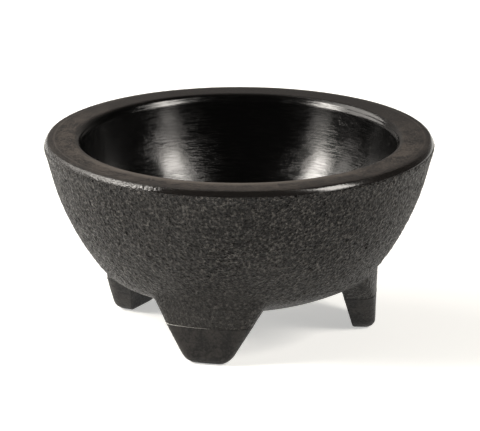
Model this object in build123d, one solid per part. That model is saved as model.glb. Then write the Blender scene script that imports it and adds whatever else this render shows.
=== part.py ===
"""Moulded molcajete serving bowl: a glossy inner bowl set in a stone-textured outer shell,
standing on three tapered legs with capped feet.

Millimetres. +Z is up, the floor is z = 0 and the origin lies on the bowl's axis.
One leg points to -Y; the two rear legs are mirror images of each other about the YZ plane.
"""
from build123d import *
from math import atan2, cos, radians, sin, sqrt
import os

# ---- driving dimensions -------------------------------------------------------------------
HEIGHT = 64.0                # floor to the top of the rim
RIM_RADIUS = 63.5            # widest point of the rim
RIM_FLAT_RADIUS = 61.3       # outer edge of the rim's flat top
RIM_THICKNESS = 2.2          # flange of the inner bowl
RIM_EDGE_STRAIGHT = 0.4      # upright part of the flange's edge, under its rounding

SHOULDER_RADIUS = 63.05      # outer shell, where its wall meets the flange
SHOULDER_SLOPE = 9.1         # degrees that the wall leans in there
WALL_ARC_RADIUS = 84.9       # the wall's curve, seen from the side
BASE_ARC_RADIUS = 88.3       # the shallow dome under the bowl, centred on the axis
BASE_HEIGHT = 8.6            # lowest point of that dome
TURN_RADIUS = 10.0           # where the wall turns into the base

SHELL_WALL = 2.4             # outer shell
LINER_WALL = 2.2             # inner bowl
LINER_DEPTH = 11.6           # from the shell's outside to the inside of the inner bowl
LINER_TURN_RADIUS = 26.0     # inside of the bowl, wall into floor
LIP_RADIUS = 2.0             # rounding from the rim's flat top into the bowl
LIP_SHADOW_GAP = 0.5         # chamfer on the shell's top edge, the dark line under the rim

SKIRT_THICKNESS = 1.8        # ring under the flange that centres the inner bowl in the shell
SKIRT_DEPTH = 3.4
FIT = 0.15                   # clearance on each side of a locating fit
BITE = 1.0                   # how far one block runs into the next where they are joined or cut

BOSS_RADIUS = 7.0            # post on the shell's floor that carries the inner bowl
PIN_RADIUS = 3.0             # pin under the inner bowl, in that post
PIN_LENGTH = 4.0

LEG_ANGLES = {"front": 0.0, "left": -106.0, "right": 106.0}   # from -Y, towards +X
LEG_TOP = 22.2               # where the leg's outer face meets the wall
JOINT_HEIGHT = 12.6          # ring line between the leg and its foot
LEG_ROOT = 5.0               # how far the leg's block runs up inside the wall
LEG_WALL = 2.2
SPIGOT_LENGTH = 6.0          # the foot's plug in the hollow leg
SOLE_ROUNDING = 2.9          # edge of the sole, outside and ends
SOLE_INNER_ROUNDING = 0.8    # edge of the sole, towards the axis
LEG_BLEND = 1.2              # hollow corner between leg and bowl

# Leg cross-section at the sole and at LEG_TOP. It changes evenly between the two.
OUTER_RADIUS = (44.6, 45.4)      # outer face, centred on the bowl's axis
INNER_RADIUS = (37.2, 31.0)      # flat inner face, distance from the axis
OUTER_HALF_WIDTH = (7.1, 20.6)
INNER_HALF_WIDTH = (6.7, 19.4)
OUTER_CORNER = (3.1, 5.0)        # rounding between the outer face and the ends
LEAST_CORNER = 0.5               # the same rounding inside the hollow leg

# ---- the side profile ---------------------------------------------------------------------
SHELL_TOP = HEIGHT - RIM_THICKNESS
WALL_CENTRE = (
    SHOULDER_RADIUS - WALL_ARC_RADIUS * cos(radians(SHOULDER_SLOPE)),
    SHELL_TOP + WALL_ARC_RADIUS * sin(radians(SHOULDER_SLOPE)),
)
BASE_CENTRE_Z = BASE_HEIGHT + BASE_ARC_RADIUS


def wall_radius(z, inset):
    """Radius of the wall at height z, for a surface that lies inset inside the shell."""
    arc = WALL_ARC_RADIUS - inset
    return WALL_CENTRE[0] + sqrt(arc**2 - (WALL_CENTRE[1] - z) ** 2)


def turn_point(inset):
    """Corner where the wall's arc crosses the base's arc, for a surface inset in the shell."""
    wall_arc = WALL_ARC_RADIUS - inset
    base_arc = BASE_ARC_RADIUS - inset
    dx, dz = WALL_CENTRE[0], WALL_CENTRE[1] - BASE_CENTRE_Z
    gap = sqrt(dx**2 + dz**2)
    along = (base_arc**2 - wall_arc**2 + gap**2) / (2 * gap)
    across = sqrt(base_arc**2 - along**2)
    ux, uz = dx / gap, dz / gap
    return (along * ux - across * uz, BASE_CENTRE_Z + along * uz + across * ux)


def half_section(inset, top, turn_radius):
    """Right half of the bowl's profile from the axis to the wall, filled, as a face in XZ."""
    corner_r, corner_z = turn_point(inset)
    base_arc = BASE_ARC_RADIUS - inset
    wall_arc = WALL_ARC_RADIUS - inset
    base_half_angle = atan2(corner_r, BASE_CENTRE_Z - corner_z) / 2
    corner_angle = atan2(corner_z - WALL_CENTRE[1], corner_r - WALL_CENTRE[0])
    top_r = wall_radius(top, inset)
    top_angle = atan2(top - WALL_CENTRE[1], top_r - WALL_CENTRE[0])
    wall_middle = (corner_angle + top_angle) / 2
    low = (0, BASE_CENTRE_Z - base_arc)
    base = ThreePointArc(
        low,
        (base_arc * sin(base_half_angle), BASE_CENTRE_Z - base_arc * cos(base_half_angle)),
        (corner_r, corner_z),
    )
    wall = ThreePointArc(
        (corner_r, corner_z),
        (
            WALL_CENTRE[0] + wall_arc * cos(wall_middle),
            WALL_CENTRE[1] + wall_arc * sin(wall_middle),
        ),
        (top_r, top),
    )
    face = make_face([base, wall, Line((top_r, top), (0, top)), Line((0, top), low)])
    corner = face.vertices().sort_by_distance((corner_r, corner_z))[0]
    return fillet(corner, turn_radius)


def turned(face):
    """Solid of revolution of a face drawn with x as radius and y as height."""
    return revolve(Plane.XZ * face, Axis.Z)


def ring(inner, outer, low, high):
    """Plain ring about the axis between two heights."""
    centre = Pos(0, 0, (low + high) / 2)
    return centre * (Cylinder(outer, high - low) - Cylinder(inner, high - low))


# ---- legs ---------------------------------------------------------------------------------
def at_height(ends, z):
    """Value at height z of a size that is given at the sole and at LEG_TOP."""
    return ends[0] + (ends[1] - ends[0]) * z / LEG_TOP


def leg_outline(z, inset):
    """Cross-section of the front leg at height z, drawn inset from its surface."""
    outer_radius = at_height(OUTER_RADIUS, z) - inset
    inner_radius = at_height(INNER_RADIUS, z) + inset
    outer_half = at_height(OUTER_HALF_WIDTH, z) - inset
    inner_half = at_height(INNER_HALF_WIDTH, z) - inset
    corner_radius = sqrt(outer_radius**2 - outer_half**2)
    outer_left = (-outer_half, -corner_radius)
    outer_right = (outer_half, -corner_radius)
    inner_left = (-inner_half, -inner_radius)
    inner_right = (inner_half, -inner_radius)
    face = make_face([
        ThreePointArc(outer_left, (0, -outer_radius), outer_right),
        Line(outer_right, inner_right),
        Line(inner_right, inner_left),
        Line(inner_left, outer_left),
    ])
    corners = face.vertices().sort_by(Axis.Y)
    face = fillet(corners[:2], max(at_height(OUTER_CORNER, z) - inset, LEAST_CORNER))
    return Pos(0, 0, z) * face


def leg_block(low, high, inset):
    """Tapered block with the leg's cross-section between two heights."""
    return loft([leg_outline(low, inset), leg_outline(high, inset)], ruled=True)


def around(shape, angle):
    """The front leg's shape turned to another leg's place."""
    return Rot(0, 0, angle) * shape


# ---- sub-parts ----------------------------------------------------------------------------
def outer_shell():
    """Textured outer shell: wall, domed base, three hollow leg stubs and the centre post."""
    body = turned(half_section(0, SHELL_TOP, TURN_RADIUS))
    top_edge = body.edges().filter_by(GeomType.CIRCLE).sort_by(Axis.Z)[-1]
    body = chamfer(top_edge, LIP_SHADOW_GAP)
    stub = leg_block(JOINT_HEIGHT, LEG_TOP + LEG_ROOT, 0)
    for angle in LEG_ANGLES.values():
        body += around(stub, angle)
    body = blended(body)
    hollow = turned(half_section(SHELL_WALL, HEIGHT, TURN_RADIUS - SHELL_WALL))
    leg_hollow = leg_block(JOINT_HEIGHT - BITE, LEG_TOP + BITE, LEG_WALL)
    for angle in LEG_ANGLES.values():
        hollow += around(leg_hollow, angle)
    shell = body - hollow
    post_low = BASE_HEIGHT + SHELL_WALL / 2
    post_high = BASE_HEIGHT + LINER_DEPTH - LINER_WALL
    return shell + ring(PIN_RADIUS + FIT, BOSS_RADIUS, post_low, post_high)


def blended(body):
    """Round the hollow corner between each leg and the bowl."""
    seams = [
        edge
        for edge in body.edges()
        if JOINT_HEIGHT < edge.center().Z < LEG_TOP + LEG_ROOT
        and edge.geom_type not in (GeomType.LINE, GeomType.CIRCLE)
    ]
    return fillet(seams, LEG_BLEND)


def rim_section():
    """Half of the flange's profile, from the axis to its rounded edge, as a face in XZ."""
    edge_low = (RIM_RADIUS, SHELL_TOP)
    edge_high = (RIM_RADIUS, SHELL_TOP + RIM_EDGE_STRAIGHT)
    flat_edge = (RIM_FLAT_RADIUS, HEIGHT)
    return make_face([
        Line((0, SHELL_TOP), edge_low),
        Line(edge_low, edge_high),
        TangentArc(flat_edge, edge_high, tangent=(1, 0)),
        Line(flat_edge, (0, HEIGHT)),
        Line((0, HEIGHT), (0, SHELL_TOP)),
    ])


def block_section(inner, outer, low, high):
    """Rectangle of a ring's profile, between two radii and two heights."""
    middle = Pos((inner + outer) / 2, (low + high) / 2)
    return middle * Rectangle(outer - inner, high - low)


def inner_bowl():
    """Glossy inner bowl: rim flange, locating skirt, bowl wall and the pin under its floor."""
    outside = LINER_DEPTH - LINER_WALL
    section = half_section(outside, HEIGHT, LINER_TURN_RADIUS + LINER_WALL)
    section += rim_section()
    skirt_low = SHELL_TOP - SKIRT_DEPTH
    skirt_outer = wall_radius(skirt_low, SHELL_WALL) - FIT
    section += block_section(skirt_outer - SKIRT_THICKNESS, skirt_outer, skirt_low, HEIGHT - BITE)
    floor_low = BASE_HEIGHT + outside
    section += block_section(0, PIN_RADIUS, floor_low - PIN_LENGTH, floor_low + BITE)
    section -= half_section(LINER_DEPTH, HEIGHT + BITE, LINER_TURN_RADIUS)
    lip = section.vertices().sort_by_distance((wall_radius(HEIGHT, LINER_DEPTH), HEIGHT))[0]
    return turned(fillet(lip, LIP_RADIUS))


def foot():
    """Foot of the front leg: a tapered cap with a flat sole and a spigot for the hollow leg."""
    cap = leg_block(0, JOINT_HEIGHT, 0)
    sole_edges = cap.faces().sort_by(Axis.Z)[0].edges().sort_by(Axis.Y)
    cap = fillet(sole_edges[:-1], SOLE_ROUNDING)
    cap = fillet(cap.faces().sort_by(Axis.Z)[0].edges().sort_by(Axis.Y)[-1], SOLE_INNER_ROUNDING)
    spigot = leg_block(JOINT_HEIGHT - BITE, JOINT_HEIGHT + SPIGOT_LENGTH, LEG_WALL + FIT)
    return cap + spigot


def build():
    """Every sub-part by its node name."""
    parts = {"outer_shell": outer_shell(), "inner_bowl": inner_bowl()}
    for place, angle in LEG_ANGLES.items():
        parts["foot_" + place] = around(foot(), angle)
    return parts


os.makedirs("parts", exist_ok=True)
for node, shape in build().items():
    export_step(shape, "parts/" + node + ".step")
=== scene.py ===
"""Moulded molcajete serving bowl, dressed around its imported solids.

A stone-textured outer shell with three leg roots, a glossy inner bowl with a broad matt rim,
three smooth feet under the ring line, and the thin flash that the mould leaves on the front leg.
Shape sizes are in millimetres and every mesh is in metres, with +Z up and the bowl's axis at the origin.
"""

import logging
import math
from dataclasses import dataclass, field
from enum import Enum
from functools import partial
from typing import Any, Callable, Iterable, Sequence

import bmesh
import bpy
from mathutils import Matrix, Vector

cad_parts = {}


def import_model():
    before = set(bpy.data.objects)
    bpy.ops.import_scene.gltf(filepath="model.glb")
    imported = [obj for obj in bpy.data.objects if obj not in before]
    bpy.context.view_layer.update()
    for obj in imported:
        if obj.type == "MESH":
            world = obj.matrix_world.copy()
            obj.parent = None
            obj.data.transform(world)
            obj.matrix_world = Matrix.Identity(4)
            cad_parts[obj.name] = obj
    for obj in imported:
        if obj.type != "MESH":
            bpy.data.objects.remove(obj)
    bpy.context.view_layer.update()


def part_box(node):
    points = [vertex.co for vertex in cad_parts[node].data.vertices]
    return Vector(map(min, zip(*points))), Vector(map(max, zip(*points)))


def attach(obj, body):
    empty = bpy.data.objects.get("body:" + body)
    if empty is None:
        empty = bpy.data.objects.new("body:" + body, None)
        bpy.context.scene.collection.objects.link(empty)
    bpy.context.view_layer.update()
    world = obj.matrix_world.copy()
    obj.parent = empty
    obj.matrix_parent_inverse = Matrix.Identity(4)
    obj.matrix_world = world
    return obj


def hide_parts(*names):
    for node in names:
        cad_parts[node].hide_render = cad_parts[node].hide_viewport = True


MM = 0.001
LOG = logging.getLogger("molcajete")
PLUG_HEIGHT = 6.0  # how far a foot's plug stands above the joint
PLASTIC_IOR = 1.49
PLASTIC_SPECULAR = 0.25

Profile = list[tuple[float, float]]
Outline = list[tuple[float, float, float]]
Step = tuple[float, ...]  # where a smooth step starts and ends, then the values there


class Kind(Enum):
    """A kind of node: Blender's type, its settings, its inputs in the order given, and its output."""

    ADD = ("ShaderNodeMath", {"operation": "ADD"}, (0, 1), 0)
    SUBTRACT = ("ShaderNodeMath", {"operation": "SUBTRACT"}, (0, 1), 0)
    MULTIPLY = ("ShaderNodeMath", {"operation": "MULTIPLY"}, (0, 1), 0)
    DIVIDE = ("ShaderNodeMath", {"operation": "DIVIDE"}, (0, 1), 0)
    MULTIPLY_ADD = ("ShaderNodeMath", {"operation": "MULTIPLY_ADD"}, (0, 1, 2), 0)
    MAXIMUM = ("ShaderNodeMath", {"operation": "MAXIMUM"}, (0, 1), 0)
    ABSOLUTE = ("ShaderNodeMath", {"operation": "ABSOLUTE"}, (0,), 0)
    SQRT = ("ShaderNodeMath", {"operation": "SQRT"}, (0,), 0)
    MOVE = ("ShaderNodeVectorMath", {"operation": "ADD"}, (0, 1), 0)
    SCALE = ("ShaderNodeVectorMath", {"operation": "SCALE"}, (0, "Scale"), 0)
    DOT = ("ShaderNodeVectorMath", {"operation": "DOT_PRODUCT"}, (0, 1), "Value")
    VECTOR = ("ShaderNodeCombineXYZ", {}, (0, 1, 2), 0)
    SPLIT = ("ShaderNodeSeparateXYZ", {}, (0,), None)
    STEP = ("ShaderNodeMapRange", {"interpolation_type": "SMOOTHSTEP"},
            ("Value", "From Min", "From Max", "To Min", "To Max"), 0)
    MIX = ("ShaderNodeMix", {}, (0, 2, 3), 0)
    BLEND = ("ShaderNodeMix", {"data_type": "RGBA"}, (0, 6, 7), 2)
    NOISE = ("ShaderNodeTexNoise", {}, ("Vector", "Scale", "Detail", "Roughness"), 0)
    CELLS = ("ShaderNodeTexVoronoi", {}, ("Vector", "Scale"), "Distance")
    CELL_EDGES = ("ShaderNodeTexVoronoi", {"feature": "DISTANCE_TO_EDGE"}, ("Vector", "Scale"), "Distance")
    OBJECT_PLACE = ("ShaderNodeTexCoord", {}, (), "Object")
    WORLD_RAY = ("ShaderNodeTexCoord", {}, (), "Generated")
    BUMP = ("ShaderNodeBump", {}, ("Height", "Distance"), 0)
    BACKGROUND = ("ShaderNodeBackground", {}, ("Color",), 0)
    WORLD_OUTPUT = ("ShaderNodeOutputWorld", {}, (0,), None)
    MATERIAL_OUTPUT = ("ShaderNodeOutputMaterial", {}, ("Surface",), None)
    PRINCIPLED = ("ShaderNodeBsdfPrincipled", {}, (), 0)
    TREE_INPUT = ("NodeGroupInput", {}, (), None)
    TREE_OUTPUT = ("NodeGroupOutput", {}, (0,), None)
    REALIZE = ("GeometryNodeRealizeInstances", {}, (0,), 0)
    SET_MATERIAL = ("GeometryNodeSetMaterial", {}, ("Geometry", "Material"), 0)
    POSITION = ("GeometryNodeInputPosition", {}, (), 0)
    NORMAL = ("GeometryNodeInputNormal", {}, (), 0)
    BLUR = ("GeometryNodeBlurAttribute", {"data_type": "FLOAT_VECTOR"}, ("Value", "Iterations", "Weight"), 0)
    SET_POSITION = ("GeometryNodeSetPosition", {}, ("Geometry", "Position"), 0)
    OFFSET = ("GeometryNodeSetPosition", {}, ("Geometry", "Offset"), 0)
    CURVE = ("GeometryNodeMeshToCurve", {}, (0,), 0)
    ALONG_CURVE = ("GeometryNodeSplineParameter", {}, (), "Factor")
    CIRCLE = ("GeometryNodeCurvePrimitiveCircle", {}, ("Resolution", "Radius"), 0)
    SWEEP = ("GeometryNodeCurveToMesh", {}, ("Curve", "Profile Curve", "Scale", "Fill Caps"), 0)


class LegPlace(Enum):
    """Where a leg stands: its angle from -Y, turning towards +X."""

    FRONT = 0.0
    LEFT = -106.0
    RIGHT = 106.0

    @property
    def node(self) -> str:
        """Name of this leg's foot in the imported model."""
        return "foot_" + self.name.lower()

    @property
    def turn(self) -> Matrix:
        """Rotation that takes the front leg to this place."""
        return Matrix.Rotation(math.radians(self.value), 4, "Z")


# ---- small shared helpers ------------------------------------------------------------------
def linear(code: str) -> tuple[float, float, float, float]:
    """Turn an sRGB hex colour into a linear RGBA value.

    Args:
        code: Six hex digits after a hash sign.

    Returns:
        Linear red, green, blue and an alpha of one.
    """
    channels = [int(code[i:i + 2], 16) / 255 for i in (1, 3, 5)]
    low, high, power = 0.04045, 1.055, 2.4
    values = [c / 12.92 if c <= low else ((c + 0.055) / high) ** power for c in channels]
    return (*values, 1.0)


def add_node(tree: bpy.types.NodeTree, kind: Kind, *values: Any,
             inputs: dict[str, Any] | None = None) -> Any:
    """Add one node with its settings, and fill or link its inputs.

    Args:
        tree: Node tree that gets the node.
        kind: Kind of the node.
        *values: Number, colour or output socket for each input, in the kind's order.
        inputs: The same for inputs by name.

    Returns:
        The kind's output socket, or all output sockets of a kind that has no single one.
    """
    identifier, settings, order, output = kind.value
    node = tree.nodes.new(identifier)
    for name, setting in settings.items():
        setattr(node, name, setting)
    for key, value in (dict(zip(order, values)) | (inputs or {})).items():
        if isinstance(value, bpy.types.NodeSocket):
            tree.links.new(value, node.inputs[key])
        else:
            node.inputs[key].default_value = value
    return node.outputs if output is None else node.outputs[output]


def closed_mesh(name: str, points: Iterable[Sequence[float]],
                faces: Iterable[Sequence[int]]) -> bpy.types.Object:
    """Make a closed, outward-facing object of points in millimetres.

    Args:
        name: Name of the object and its mesh.
        points: Corner positions in millimetres.
        faces: Corner numbers of each face.

    Returns:
        The new object, linked to the scene.
    """
    mesh = bpy.data.meshes.new(name)
    mesh.from_pydata([[c * MM for c in p] for p in points], [], [list(f) for f in faces])
    work = bmesh.new()
    work.from_mesh(mesh)
    bmesh.ops.remove_doubles(work, verts=work.verts, dist=1e-6)
    bmesh.ops.dissolve_degenerate(work, edges=work.edges, dist=1e-7)
    bmesh.ops.recalc_face_normals(work, faces=work.faces)
    work.to_mesh(mesh)
    work.free()
    obj = bpy.data.objects.new(name, mesh)
    bpy.context.scene.collection.objects.link(obj)
    return obj


def turned_mesh(name: str, profile: Profile, segments: int) -> bpy.types.Object:
    """Turn a half profile that starts and ends on the axis into a closed solid.

    Args:
        name: Name of the object.
        profile: Radius and height of each profile point, in millimetres.
        segments: Number of steps around the axis.

    Returns:
        The turned object.
    """
    inner = profile[1:-1]
    angles = [2 * math.pi * i / segments for i in range(segments)]
    points = [(r * math.sin(a), -r * math.cos(a), z) for r, z in inner for a in angles]
    first, last = len(points), len(points) + 1
    points += [(0.0, 0.0, profile[0][1]), (0.0, 0.0, profile[-1][1])]
    faces: list[tuple[int, ...]] = []
    for i in range(segments):
        j = (i + 1) % segments
        faces.append((first, i, j))
        for row in range(len(inner) - 1):
            low, high = row * segments, (row + 1) * segments
            faces.append((low + i, high + i, high + j, low + j))
        top = (len(inner) - 1) * segments
        faces.append((last, top + j, top + i))
    return closed_mesh(name, points, faces)


def stacked_mesh(name: str, rings: Sequence[Sequence[Sequence[float]]]) -> bpy.types.Object:
    """Join rings of equal point counts into a closed solid with a cap at each end.

    Args:
        name: Name of the object.
        rings: Closed outlines from the lowest to the highest, in millimetres.

    Returns:
        The stacked object.
    """
    count = len(rings[0])
    points = [p for ring in rings for p in ring]
    faces: list[tuple[int, ...]] = []
    for row in range(len(rings) - 1):
        low, high = row * count, (row + 1) * count
        for i in range(count):
            j = (i + 1) % count
            faces.append((low + i, low + j, high + j, high + i))
    for row in (0, len(rings) - 1):
        ring = rings[row]
        centre = len(points)
        points.append([sum(p[k] for p in ring) / count for k in range(3)])
        faces += [(centre, row * count + i, row * count + (i + 1) % count) for i in range(count)]
    return closed_mesh(name, points, faces)


def joined(name: str, parts: Sequence[bpy.types.Object]) -> bpy.types.Object:
    """Gather several meshes in one object and remove the separate ones.

    Args:
        name: Name of the new object.
        parts: Objects to gather.

    Returns:
        The gathered object.
    """
    work = bmesh.new()
    for part in parts:
        work.from_mesh(part.data)
    mesh = bpy.data.meshes.new(name)
    work.to_mesh(mesh)
    work.free()
    for part in parts:
        drop(part)
    obj = bpy.data.objects.new(name, mesh)
    bpy.context.scene.collection.objects.link(obj)
    return obj


def drop(obj: bpy.types.Object) -> None:
    """Remove an object and its mesh.

    Args:
        obj: Object to remove.
    """
    mesh = obj.data
    bpy.data.objects.remove(obj)
    bpy.data.meshes.remove(mesh)


def settle(obj: bpy.types.Object) -> None:
    """Turn an object's modifiers into plain mesh and remove them.

    Args:
        obj: Object whose modifiers are applied.
    """
    bpy.context.view_layer.update()
    mesh = bpy.data.meshes.new_from_object(obj.evaluated_get(bpy.context.evaluated_depsgraph_get()))
    obj.modifiers.clear()
    old = obj.data
    obj.data = mesh
    mesh.name = obj.name
    bpy.data.meshes.remove(old)


def cut(obj: bpy.types.Object, cutter: bpy.types.Object) -> None:
    """Cut one closed mesh out of another and drop the cutter.

    Args:
        obj: Closed object that is cut.
        cutter: Closed object that is taken away.
    """
    modifier = obj.modifiers.new("cut", "BOOLEAN")
    modifier.operation = "DIFFERENCE"
    modifier.solver = "MANIFOLD"
    modifier.object = cutter
    settle(obj)
    drop(cutter)


def thinned(obj: bpy.types.Object, limit: int) -> None:
    """Bring a mesh under a number of triangles, keeping its fine relief.

    Args:
        obj: Object to thin.
        limit: Most triangles that it may keep.
    """
    triangles = sum(len(p.vertices) - 2 for p in obj.data.polygons)
    if triangles > limit:
        modifier = obj.modifiers.new("thin", "DECIMATE")
        modifier.ratio = limit / triangles
        modifier.use_collapse_triangulate = True
        settle(obj)


def smooth(obj: bpy.types.Object, crease: float) -> None:
    """Shade a mesh smooth, with sharp edges past an angle in degrees."""
    obj.data.shade_smooth()
    obj.data.set_sharp_from_angle(angle=math.radians(crease))


def dress(obj: bpy.types.Object, finish: bpy.types.Material) -> None:
    """Give a whole mesh one finish."""
    obj.data.materials.clear()
    obj.data.materials.append(finish)


# ---- the bowl's form -----------------------------------------------------------------------
@dataclass(frozen=True)
class BowlForm:
    """Side profile that the shell and the inner bowl share."""

    height: float
    shell_top: float
    base_height: float
    rim_radius: float
    shoulder_radius: float = 63.05
    shoulder_slope: float = 9.1
    wall_arc: float = 84.9
    base_arc: float = 88.3

    @classmethod
    def from_frame(cls) -> "BowlForm":
        """Read the heights and the rim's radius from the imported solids.

        Returns:
            The form, with its heights and rim radius in millimetres.
        """
        low, shell_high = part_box("outer_shell")
        _, rim_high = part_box("inner_bowl")
        return cls(rim_high.z / MM, shell_high.z / MM, low.z / MM, rim_high.x / MM)

    @property
    def wall_centre(self) -> tuple[float, float]:
        """Centre of the wall's arc.

        Returns:
            Its radius and height.
        """
        slope = math.radians(self.shoulder_slope)
        return (self.shoulder_radius - self.wall_arc * math.cos(slope),
                self.shell_top + self.wall_arc * math.sin(slope))

    @property
    def base_centre(self) -> float:
        """Height of the centre of the base's arc."""
        return self.base_height + self.base_arc

    def wall_radius(self, z: float, inset: float = 0.0) -> float:
        """Return the wall's radius at a height, for a surface inset in the shell."""
        radius, height = self.wall_centre
        return radius + math.sqrt((self.wall_arc - inset) ** 2 - (height - z) ** 2)

    def base_z(self, r: float, inset: float = 0.0) -> float:
        """Return the height of the base's dome at a radius."""
        return self.base_centre - math.sqrt((self.base_arc - inset) ** 2 - r ** 2)

    def crossing(self, inset: float) -> tuple[float, float]:
        """Return where the wall's arc meets the base's arc, for a surface inset in the shell.

        Args:
            inset: Distance inside the shell's outer surface.

        Returns:
            Radius and height of the crossing.
        """
        wall, base = self.wall_arc - inset, self.base_arc - inset
        dx, dz = self.wall_centre[0], self.wall_centre[1] - self.base_centre
        gap = math.hypot(dx, dz)
        along = (base ** 2 - wall ** 2 + gap ** 2) / (2 * gap)
        across = math.sqrt(base ** 2 - along ** 2)
        ux, uz = dx / gap, dz / gap
        return along * ux - across * uz, self.base_centre + along * uz + across * ux

    def side(self, inset: float, turn: float, top: float, step: float) -> Profile:
        """Trace the profile from the axis to the wall's top.

        Args:
            inset: Distance inside the shell's outer surface.
            turn: Radius of the bend from the base to the wall.
            top: Height where the profile ends.
            step: Distance between points.

        Returns:
            Points from the axis outwards.
        """
        centre = self.crossing(inset + turn)
        wall_r, wall_z = self.wall_centre
        base_end = math.atan2(centre[0], self.base_centre - centre[1])
        wall_start = math.atan2(centre[1] - wall_z, centre[0] - wall_r)
        wall_end = math.atan2(top - wall_z, self.wall_radius(top, inset) - wall_r)
        arcs = (
            ((0.0, self.base_centre), self.base_arc - inset, -math.pi / 2, base_end - math.pi / 2),
            (centre, turn, base_end - math.pi / 2, wall_start),
            ((wall_r, wall_z), self.wall_arc - inset, wall_start, wall_end),
        )
        points: Profile = []
        for (cr, cz), radius, start, end in arcs:
            steps = max(2, round(abs(end - start) * radius / step))
            for i in range(steps + 1):
                a = start + (end - start) * i / steps
                point = (cr + radius * math.cos(a), cz + radius * math.sin(a))
                if not points or math.dist(points[-1], point) > step / 10:
                    points.append(point)
        points[0] = (0.0, points[0][1])
        return points


@dataclass(frozen=True)
class LegForm:
    """Cross-section of the legs. Each pair is the size at the sole and at the leg's top."""

    top: float = 22.2
    outer_radius: tuple[float, float] = (44.6, 45.4)
    inner_radius: tuple[float, float] = (37.2, 31.0)
    outer_half: tuple[float, float] = (7.1, 20.6)
    inner_half: tuple[float, float] = (6.7, 19.4)
    corner: tuple[float, float] = (3.1, 5.0)
    least_corner: float = 0.5

    def at(self, ends: tuple[float, float], z: float) -> float:
        """Return a size at a height."""
        return ends[0] + (ends[1] - ends[0]) * z / self.top

    def outline(self, z: float, inset: float = 0.0, inner_inset: float | None = None,
                detail: int = 4) -> Outline:
        """Trace the front leg's outline at a height.

        Args:
            z: Height of the section.
            inset: Distance inside the leg's surface.
            inner_inset: The same for the flat inner face, where it differs.
            detail: Steps along each corner; the longer runs have several times as many.

        Returns:
            Points around the leg, the same number at every height.
        """
        back_inset = inset if inner_inset is None else inner_inset
        radius = self.at(self.outer_radius, z) - inset
        back = self.at(self.inner_radius, z) + back_inset
        half = self.at(self.outer_half, z) - inset
        back_half = self.at(self.inner_half, z) - inset
        corner = max(self.at(self.corner, z) - inset, self.least_corner)
        start = Vector((half, -math.sqrt(radius ** 2 - half ** 2)))
        along = (Vector((back_half, -back)) - start).normalized()
        inward = Vector((-along.y, along.x))
        if inward.x > 0:
            inward = -inward
        base = start + inward * corner
        dot = base.dot(along)
        reach = math.sqrt(dot ** 2 - base.length_squared + (radius - corner) ** 2)
        centre = base + along * (-dot - reach)
        alternative = base + along * (-dot + reach)
        if (alternative - start).length < (centre - start).length:
            centre = alternative
        touch_arc = centre.normalized() * radius
        touch_side = centre - inward * corner
        arc_end = math.atan2(touch_arc.x, -touch_arc.y)
        a0 = math.atan2(touch_arc.y - centre.y, touch_arc.x - centre.x)
        a1 = math.atan2(touch_side.y - centre.y, touch_side.x - centre.x)
        half_line = [(radius * math.sin(arc_end * i / (5 * detail)),
                      -radius * math.cos(arc_end * i / (5 * detail))) for i in range(5 * detail)]
        half_line += [(centre.x + corner * math.cos(a0 + (a1 - a0) * i / detail),
                       centre.y + corner * math.sin(a0 + (a1 - a0) * i / detail)) for i in range(detail)]
        end = Vector((back_half, -back))
        half_line += [tuple(touch_side.lerp(end, i / (3 * detail))) for i in range(3 * detail)]
        half_line += [(back_half * (1 - i / (4 * detail)), -back) for i in range(4 * detail)]
        right = [(x, y, z) for x, y in half_line]
        left = [(-x, y, z) for x, y in reversed(half_line[1:])]
        return right + [(0.0, -back, z)] + left

    def block(self, name: str, low: float, high: float, inset: float = 0.0) -> bpy.types.Object:
        """Make the closed block of one leg between two heights."""
        return stacked_mesh(name, [self.outline(z, inset) for z in (low, high)])


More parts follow.
